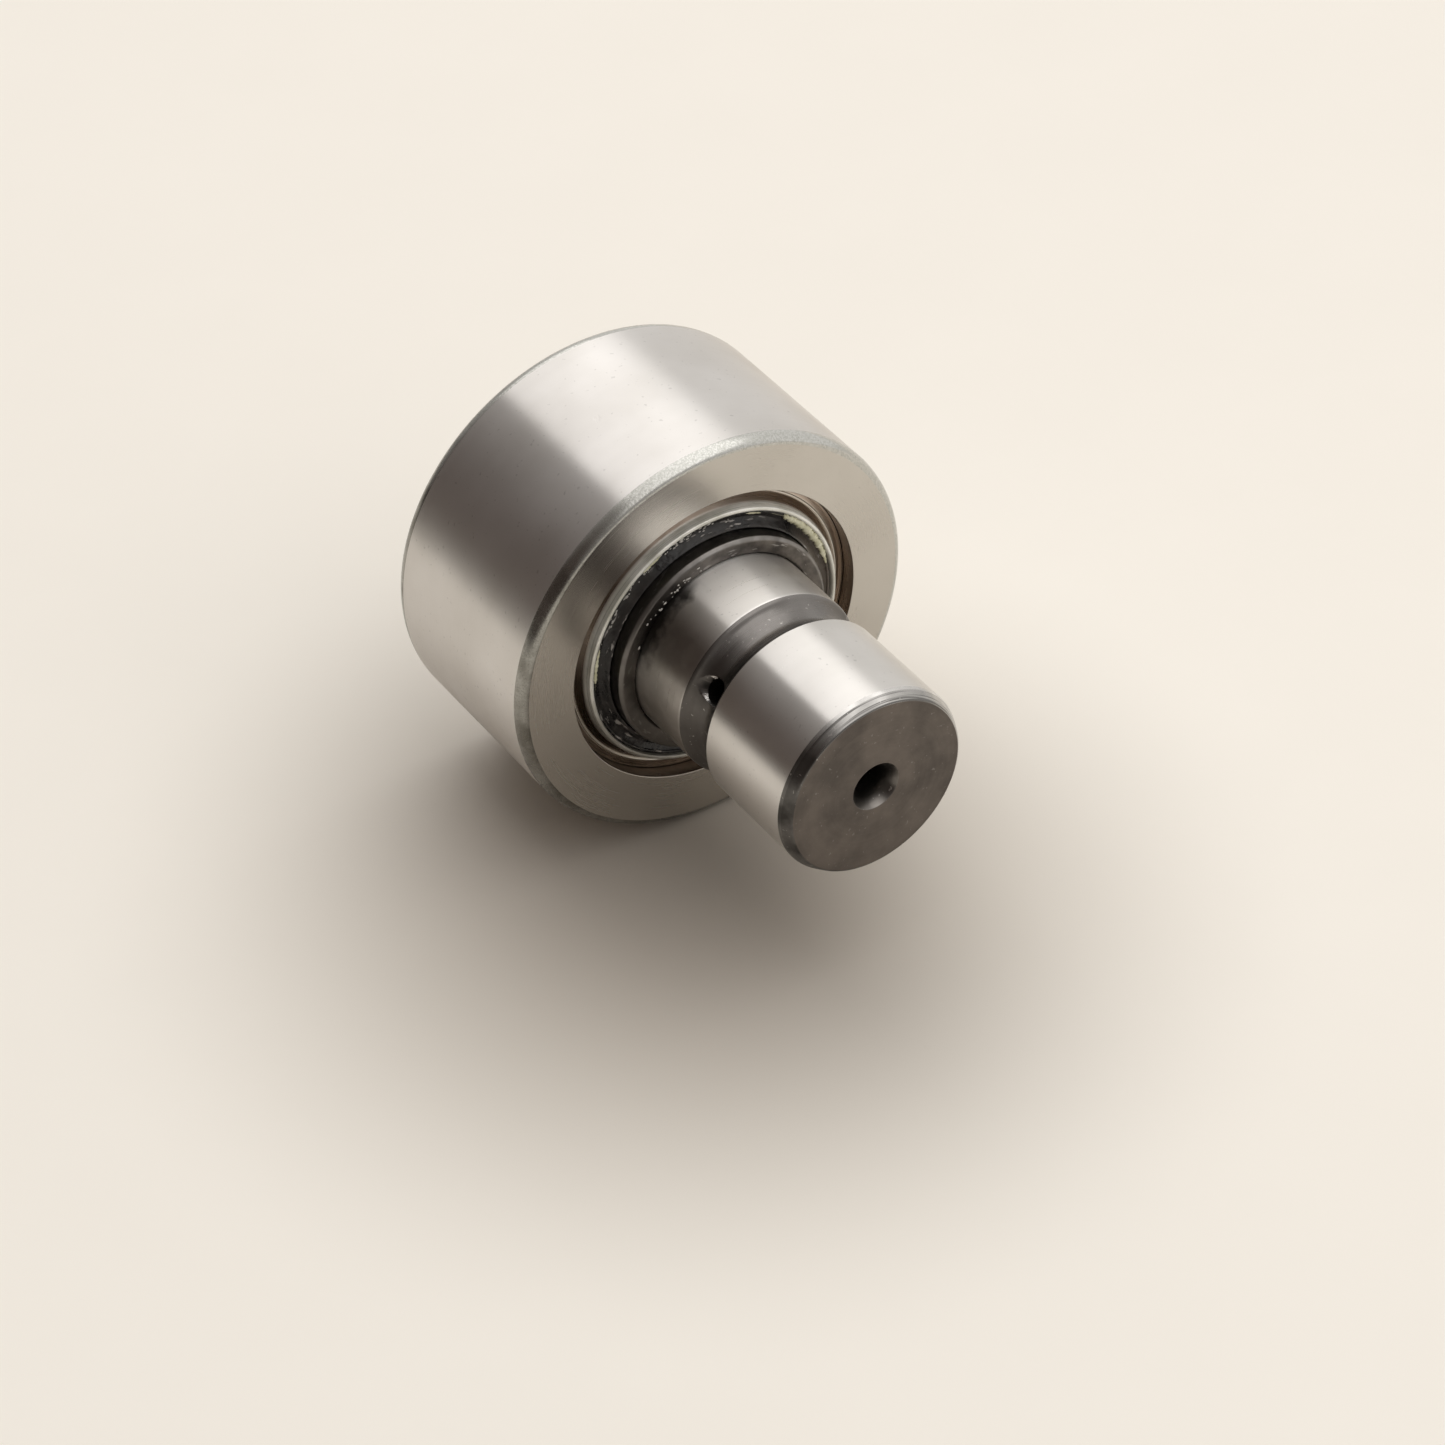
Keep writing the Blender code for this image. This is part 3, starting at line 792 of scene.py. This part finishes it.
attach(ring, "roller")

# ---------------------------------------------------------------------------------------------------
# The seal cases. Rings of bright sheet steel, drawn in a press and pushed into the roller's recesses.
# A flat rim sits in the recess, a dished wall rises from it, and the inner edge is rolled over.
# Oil has turned the rim brown, and old grease has dried pale on the rolled edge.

front_case_bore = 10.92 * MM
rear_case_bore = 11.66 * MM
roll_radius = 0.19 * MM
roll_depth = 0.10 * MM
case_rim_depth = 1.5 * MM
case_back_depth = 2.1 * MM
case_rim_gap = 0.05 * MM
case_rim_step = 0.16 * MM
bead_radius = 0.11 * MM
bead_inset = 0.69 * MM


def case_outline(bore):
    """The pressed ring as (radius, depth below the roller's face), starting inside the rolled edge."""
    roll = (bore + roll_radius, roll_depth + roll_radius)
    past_roll = bore + 2 * roll_radius
    bead = (recess_radius - bead_inset, case_rim_depth - 0.02 * MM)
    rim_edge = recess_radius - case_rim_gap
    return [
        (bore, 1.7 * MM),
        *arc_points(roll, roll_radius, 180, 360, 10),
        (past_roll + 0.01 * MM, 0.72 * MM),
        (past_roll + 0.10 * MM, 0.86 * MM),
        (bead[0] - 0.20 * MM, case_rim_depth - 0.12 * MM),
        *arc_points(bead, bead_radius, 200, 350, 6),
        (rim_edge - 0.20 * MM, case_rim_depth),
        (rim_edge - 0.13 * MM, case_rim_depth - case_rim_step),
        (rim_edge, case_rim_depth - case_rim_step),
        (rim_edge, case_back_depth),
        (bore + 0.25 * MM, case_back_depth),
    ]


def case_finish(name, bore):
    """Pale dried grease on the rolled edge, a bright bead, and brown oily steel between them, painted darker
    with painted shade away from the side at 20 degrees.
    """
    pressed_steel = (0.70, 0.67, 0.62)
    thin_oil = (0.50, 0.42, 0.355)
    oil_in_painted_shade = (0.19, 0.15, 0.118)
    pale_grease = (0.84, 0.83, 0.77)
    grey_grease = (0.60, 0.59, 0.52)
    black_grease = (0.16, 0.145, 0.125)
    material, tree, shader = new_steel(name, pressed_steel, 0.28)
    x, y, z, radius = lathe_place(tree)
    edge = bore + 2 * roll_radius
    past_roll = spread(tree, radius, edge + 0.04 * MM, edge + 0.20 * MM)
    from_bead = maths(tree, "ABSOLUTE", maths(tree, "SUBTRACT", radius, recess_radius - bead_inset))
    off_bead = spread(tree, from_bead, 0.10 * MM, 0.18 * MM)
    oil = maths(tree, "MULTIPLY", past_roll, off_bead)
    clouds = spread(tree, grain(tree, 600, 4.0), 0.38, 0.64, 0.75, 1.0)
    # Painted shade: the oily brown is painted darker away from the side at 20 degrees.
    painted_case_shade = maths(tree, "MULTIPLY", clouds, far_side(tree, 20, 0.75, 0.10))
    brown = blend_colours(tree, painted_case_shade, thin_oil, oil_in_painted_shade)
    film = spread(tree, grain(tree, 420, 4.0, 1.7), 0.38, 0.62)
    oiled_arc = maths(tree, "MULTIPLY", far_side(tree, 45, -0.75, -0.95), 0.75)
    greyed = blend_colours(tree, film, pale_grease, grey_grease)
    rolled = blend_colours(tree, oiled_arc, greyed, black_grease)
    bright = blend_colours(tree, past_roll, rolled, pressed_steel)
    tree.links.new(blend_colours(tree, oil, bright, brown), shader.inputs["Base Color"])
    tree.links.new(spread(tree, past_roll, 0.0, 1.0, 0.30, 1.0), shader.inputs["Metallic"])
    rings = tool_marks(tree, 5000, 60, 2.0)
    tree.links.new(spread(tree, rings, 0.3, 0.7, 0.26, 0.30), shader.inputs["Roughness"])
    emboss(tree, shader, rings, 0.0012 * MM, 0.3)
    emboss(tree, shader, film, 0.012 * MM, 0.6)
    return material


def seal_case(node, bore, face_y, inwards):
    """One case, in the recess of the roller's face at `face_y`."""
    outline = [(radius, face_y + inwards * depth) for radius, depth in case_outline(bore)]
    shape = turned_shape(outline, bored=True)
    case = finished_piece("pressed_" + node, shape, [case_finish(node + "_sheet", bore)])
    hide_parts(node)
    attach(case, "roller")


seal_case("front_seal_case", front_case_bore, roller_front, 1)
seal_case("rear_seal_case", rear_case_bore, roller_rear, -1)

# ---------------------------------------------------------------------------------------------------
# The seal lips. Black nitrile rubber moulded into each case. A raised bead fills the case's rolled
# edge, and past a shallow valley the thin lip reaches in to the washer's hub, or to the stud's head.
# The rubber is wet with grease and has caught dust.

running_gap = 0.08 * MM
rubber_bead = 0.12 * MM
lip_tip_radius = 0.07 * MM


def lip_outline(case_bore, hub):
    """The moulded ring as (radius, depth below the roller's face); the valley takes up what is left."""
    outer = case_bore - press_fit
    inner = hub + running_gap
    width = outer - inner
    bead = (outer - 0.14 * MM, 0.50 * MM)
    lip_tip = (inner + lip_tip_radius, 0.15 * MM)
    return [
        (outer, 1.85 * MM),
        (outer, 0.60 * MM),
        *arc_points(bead, rubber_bead, 10, -190, 8),
        (outer - 0.34 * width, 0.66 * MM),
        (outer - 0.50 * width, 0.74 * MM),
        (inner + 0.30 * width, 0.62 * MM),
        (inner + 0.16 * width, 0.26 * MM),
        *arc_points(lip_tip, lip_tip_radius, -30, -180, 5),
        (inner, 1.75 * MM),
        (inner + 0.20 * width, 2.05 * MM),
    ]


def greasy_rubber():
    """Black nitrile with a film of grease, and dust dragged into short dashes round the axis."""
    wet_black = (0.014, 0.013, 0.013)
    greasy_black = (0.036, 0.032, 0.029)
    right_side_brown = (0.17, 0.145, 0.12)
    caught_dust = (0.36, 0.34, 0.32)
    material = bpy.data.materials.new("greasy_rubber")
    material.use_nodes = True
    tree = material.node_tree
    shader = tree.nodes["Principled BSDF"]
    shader.inputs["Specular IOR Level"].default_value = 0.35
    dusty = spread(tree, grain(tree, 220, 2.0, 2.2), 0.48, 0.56)
    dashes = maths(tree, "MULTIPLY", spread(tree, tool_marks(tree, 3200, 900, 2.0), 0.60, 0.66), dusty)
    film = spread(tree, grain(tree, 500, 4.0, 4.0), 0.40, 0.66)
    black = blend_colours(tree, film, wet_black, greasy_black)
    # Browner on the right side, round 8 degrees.
    browner_on_right = maths(tree, "MULTIPLY", far_side(tree, 188, -0.80, -0.96), 0.8)
    smeared = blend_colours(tree, browner_on_right, black, right_side_brown)
    tree.links.new(blend_colours(tree, dashes, smeared, caught_dust), shader.inputs["Base Color"])
    tree.links.new(spread(tree, film, 0.0, 1.0, 0.24, 0.46), shader.inputs["Roughness"])
    emboss(tree, shader, grain(tree, 1900, 3.0), 0.12 * MM, 0.8)
    emboss(tree, shader, dashes, 0.03 * MM, 0.8)
    return material


rubber = greasy_rubber()


def seal_lip(node, case_bore, hub, face_y, inwards):
    """One lip, moulded in the case at `face_y` and reaching in to a hub of this radius."""
    outline = [(radius, face_y + inwards * depth) for radius, depth in lip_outline(case_bore, hub)]
    lip = finished_piece("moulded_" + node, turned_shape(outline, bored=True), [rubber], sharp=40)
    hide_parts(node)
    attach(lip, "roller")


seal_lip("front_seal_lip", front_case_bore, hub_radius, roller_front, 1)
seal_lip("rear_seal_lip", rear_case_bore, head_radius, roller_rear, -1)

# ---------------------------------------------------------------------------------------------------
# Old grease and dust on the front seal. Crumbs lie in the rubber's valley on the upper side and on the
# washer, and yellowish smears of squeezed-out grease cling to the inside of the case's rolled edge. Each
# smear has the degrees round the axis where it starts and ends, and how full it is.

smear_thickness = 0.15 * MM
smear_inset = 0.24 * MM
smear_depth = 0.36 * MM
smear_flatness = 0.6
SMEARS = ((12, 60, 2.9), (116, 126, 1.0), (163, 184, 1.2), (66, 74, 0.7))
smallest_crumb = 0.04 * MM
largest_crumb = 0.125 * MM
luck = random.Random(16)


def dried_grease(name, colour, dark, roughness):
    """Lumpy, and mottled between a colour and a darker one."""
    material = bpy.data.materials.new(name)
    material.use_nodes = True
    tree = material.node_tree
    shader = tree.nodes["Principled BSDF"]
    mottle = spread(tree, grain(tree, 2200, 3.0), 0.36, 0.64)
    tree.links.new(blend_colours(tree, mottle, colour, dark), shader.inputs["Base Color"])
    tree.links.new(spread(tree, mottle, 0.0, 1.0, roughness, roughness + 0.15), shader.inputs["Roughness"])
    emboss(tree, shader, grain(tree, 3000, 3.0), 0.02 * MM, 0.7)
    return material


pale_dust = dried_grease("pale_dust", (0.64, 0.62, 0.58), (0.34, 0.325, 0.30), 0.45)
yellow_grease = dried_grease("yellow_grease", (0.74, 0.72, 0.54), (0.56, 0.54, 0.36), 0.28)


def scattered_crumbs(name, body, count, y, radii, turns):
    """Flat little crumbs at one station; `turns` is from, to and where they lie thickest, in degrees."""
    shape = bmesh.new()
    for crumb in range(count):
        turn = math.radians(luck.triangular(*turns))
        radius = luck.uniform(*radii)
        size = luck.uniform(smallest_crumb, largest_crumb)
        made = bmesh.ops.create_icosphere(shape, subdivisions=1, radius=size)["verts"]
        stretch = Matrix.Diagonal((luck.uniform(0.6, 1.1), 0.6, luck.uniform(0.8, 2.0), 1.0))
        spun = Matrix.Rotation(-turn, 4, "Y") @ Matrix.Translation((radius, y, 0.0))
        bmesh.ops.transform(shape, matrix=spun @ stretch, verts=made)
    crumbs = finished_piece(name, shape, [pale_dust], sharp=60)
    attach(crumbs, body)


scattered_crumbs("dust_on_rubber", "roller", count=80, y=roller_front + 0.70 * MM,
                 radii=(9.95 * MM, 10.55 * MM), turns=(70, 165, 118))
scattered_crumbs("dust_on_bead", "roller", count=26, y=roller_front + 0.40 * MM,
                 radii=(10.68 * MM, 10.82 * MM), turns=(75, 160, 112))
scattered_crumbs("dust_on_collar", "stud", count=24, y=0.0,
                 radii=(8.20 * MM, 8.75 * MM), turns=(95, 160, 128))

smears_shape = bmesh.new()
smear_line = (front_case_bore - smear_inset, roller_front + smear_depth)
thinnest = 0.02
for start, end, fullness in SMEARS:
    made = bmesh.ops.create_circle(smears_shape, segments=10, radius=smear_thickness * fullness)["verts"]
    bmesh.ops.scale(smears_shape, verts=made, vec=(1.0, smear_flatness, 1.0))
    bmesh.ops.translate(smears_shape, verts=made, vec=(smear_line[0], smear_line[1], 0.0))
    begin = Matrix.Rotation(-math.radians(start), 3, "Y")
    bmesh.ops.rotate(smears_shape, verts=made, cent=(0, 0, 0), matrix=begin)
    ring_edges = [edge for edge in smears_shape.edges if all(vert in made for vert in edge.verts)]
    bmesh.ops.spin(smears_shape, geom=made + ring_edges, cent=(0, 0, 0), axis=(0, -1, 0),
                   angle=math.radians(end - start), steps=(end - start) * 3)
for vert in smears_shape.verts:
    turn = math.degrees(math.atan2(vert.co.z, vert.co.x))
    start, end, fullness = min(SMEARS, key=lambda smear: abs(turn - (smear[0] + smear[1]) / 2))
    along = min(max((turn - start) / (end - start), 0.0), 1.0)
    lumps = 0.75 + 0.25 * math.sin(turn * 1.9) * math.sin(turn * 0.83 + 1)
    size = math.sqrt(math.sin(math.pi * along)) * lumps if 0 < along < 1 else thinnest
    heart = Vector((smear_line[0] * math.cos(math.radians(turn)), smear_line[1],
                    smear_line[0] * math.sin(math.radians(turn))))
    vert.co = heart + (vert.co - heart) * max(size, thinnest)
bmesh.ops.holes_fill(smears_shape, edges=[edge for edge in smears_shape.edges if edge.is_boundary], sides=12)
bmesh.ops.recalc_face_normals(smears_shape, faces=smears_shape.faces)
smears = finished_piece("grease_smears", smears_shape, [yellow_grease], sharp=80)
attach(smears, "roller")

# ---------------------------------------------------------------------------------------------------
# The floor. A plain sheet of warm pale paper that the roller lies on. A broad soft painted shadow
# darkens it under the follower, and painted shade darkens it towards the dark side of the room on the left.

azimuth = math.radians(-34.02)
elevation = math.radians(40.38)
right = Vector((math.cos(azimuth), math.sin(azimuth), 0.0))
floor_half = 1.5
floor_level = cad_low.z - 0.02 * MM
fade_start = 0.13
fade_end = 0.24
# Painted shadow: the centre and reach of the soft contact shadow painted into the paper under the follower.
painted_shadow_centre = (-7 * MM, -6 * MM, floor_level)
painted_shadow_heart = 4 * MM
painted_shadow_reach = 50 * MM
pale_fibre = (0.95, 0.91, 0.84)
dull_fibre = (0.93, 0.89, 0.82)
painted_shadow_paper = (0.50, 0.455, 0.40)
shaded_paper = (0.24, 0.23, 0.215)
floor_shape = bmesh.new()
bmesh.ops.create_grid(floor_shape, x_segments=8, y_segments=8, size=floor_half)
bmesh.ops.translate(floor_shape, verts=floor_shape.verts, vec=(0.0, 0.0, floor_level))
floor_paper = bpy.data.materials.new("floor_paper")
floor_paper.use_nodes = True
paper_tree = floor_paper.node_tree
paper_shader = paper_tree.nodes["Principled BSDF"]
paper_shader.inputs["Roughness"].default_value = 0.9
paper_shader.inputs["Specular IOR Level"].default_value = 0.1
paper_place = paper_tree.nodes.new("ShaderNodeTexCoord")
# Painted shade: the paper is painted darker towards the left, where the room is dark.
leftwards = paper_tree.nodes.new("ShaderNodeVectorMath")
leftwards.operation = "DOT_PRODUCT"
leftwards.inputs[1].default_value = -right
paper_tree.links.new(paper_place.outputs["Object"], leftwards.inputs[0])
painted_shade_fade = spread(paper_tree, leftwards.outputs["Value"], fade_start, fade_end)
fibres = blend_colours(paper_tree, grain(paper_tree, 90, 3.0), pale_fibre, dull_fibre)
# Painted shadow: the paper is painted darker round a point under the follower.
from_contact = paper_tree.nodes.new("ShaderNodeVectorMath")
from_contact.operation = "DISTANCE"
from_contact.inputs[1].default_value = painted_shadow_centre
paper_tree.links.new(paper_place.outputs["Object"], from_contact.inputs[0])
painted_shadow = spread(paper_tree, from_contact.outputs["Value"], painted_shadow_reach, painted_shadow_heart)
painted_shadow.node.interpolation_type = "SMOOTHSTEP"
# marked is the paper with the painted shadow laid in.
marked = blend_colours(paper_tree, painted_shadow, fibres, painted_shadow_paper)
paper_tree.links.new(blend_colours(paper_tree, painted_shade_fade, marked, shaded_paper),
                     paper_shader.inputs["Base Color"])
floor = finished_piece("floor", floor_shape, [floor_paper])

# ---------------------------------------------------------------------------------------------------
# The light. One wide soft panel overhead, a pale room to the right and a dark one to the left, as
# the long clean bands on a turned steel piece need.

panel_height = 0.50
panel_left = -0.34 * panel_height
panel_right = 0.84 * panel_height
panel_front = -1.6 * panel_height
panel_back = 1.9 * panel_height
PANEL_RADIANCE = 0.70
BRIGHT_WALL = (0.97, 0.95, 0.92)
DARK_WALL = (0.100, 0.078, 0.068)
bright_side = Vector((0.95, 0.10, 0.10)).normalized()

panel = bpy.data.lights.new("soft_panel", "AREA")
panel.shape = "RECTANGLE"
panel.size = panel_right - panel_left
panel.size_y = panel_back - panel_front
panel.energy = 4 * PANEL_RADIANCE * panel.size * panel.size_y
panel.color = (1.0, 0.985, 0.965)
panel_holder = bpy.data.objects.new("soft_panel", panel)
panel_holder.location = ((panel_left + panel_right) / 2, (panel_front + panel_back) / 2, panel_height)
bpy.context.scene.collection.objects.link(panel_holder)

room = bpy.data.worlds.new("room")
bpy.context.scene.world = room
room.use_nodes = True
room_tree = room.node_tree
outlook = room_tree.nodes.new("ShaderNodeTexCoord")
towards = room_tree.nodes.new("ShaderNodeVectorMath")
towards.operation = "DOT_PRODUCT"
towards.inputs[1].default_value = bright_side
room_tree.links.new(outlook.outputs["Generated"], towards.inputs[0])
wall = spread(room_tree, towards.outputs["Value"], -0.66, 0.70)
room_tree.links.new(blend_colours(room_tree, wall, DARK_WALL, BRIGHT_WALL),
                    room_tree.nodes["Background"].inputs["Color"])

# ---------------------------------------------------------------------------------------------------
# The camera: a long lens, from the left of the shank's end and above it.

camera_distance = 342.67 * MM
aim_rightwards = 0.501 * MM
aim_downwards = 6.582 * MM
focal_length = 112.11
ahead = Vector((-math.sin(azimuth) * math.cos(elevation), math.cos(azimuth) * math.cos(elevation),
                -math.sin(elevation))).normalized()
up = right.cross(ahead)
aim = Vector((0.0, roller_front, 0.0)) + right * aim_rightwards - up * aim_downwards
camera_data = bpy.data.cameras.new("camera")
camera_data.sensor_width = 36.0
camera_data.lens = focal_length
camera_data.clip_start = 0.01
camera_data.dof.use_dof = False
camera = bpy.data.objects.new("camera", camera_data)
camera.location = aim - ahead * camera_distance
camera.rotation_euler = ahead.to_track_quat("-Z", "Y").to_euler()
bpy.context.scene.collection.objects.link(camera)
bpy.context.scene.camera = camera
bpy.context.scene.view_settings.view_transform = "Standard"
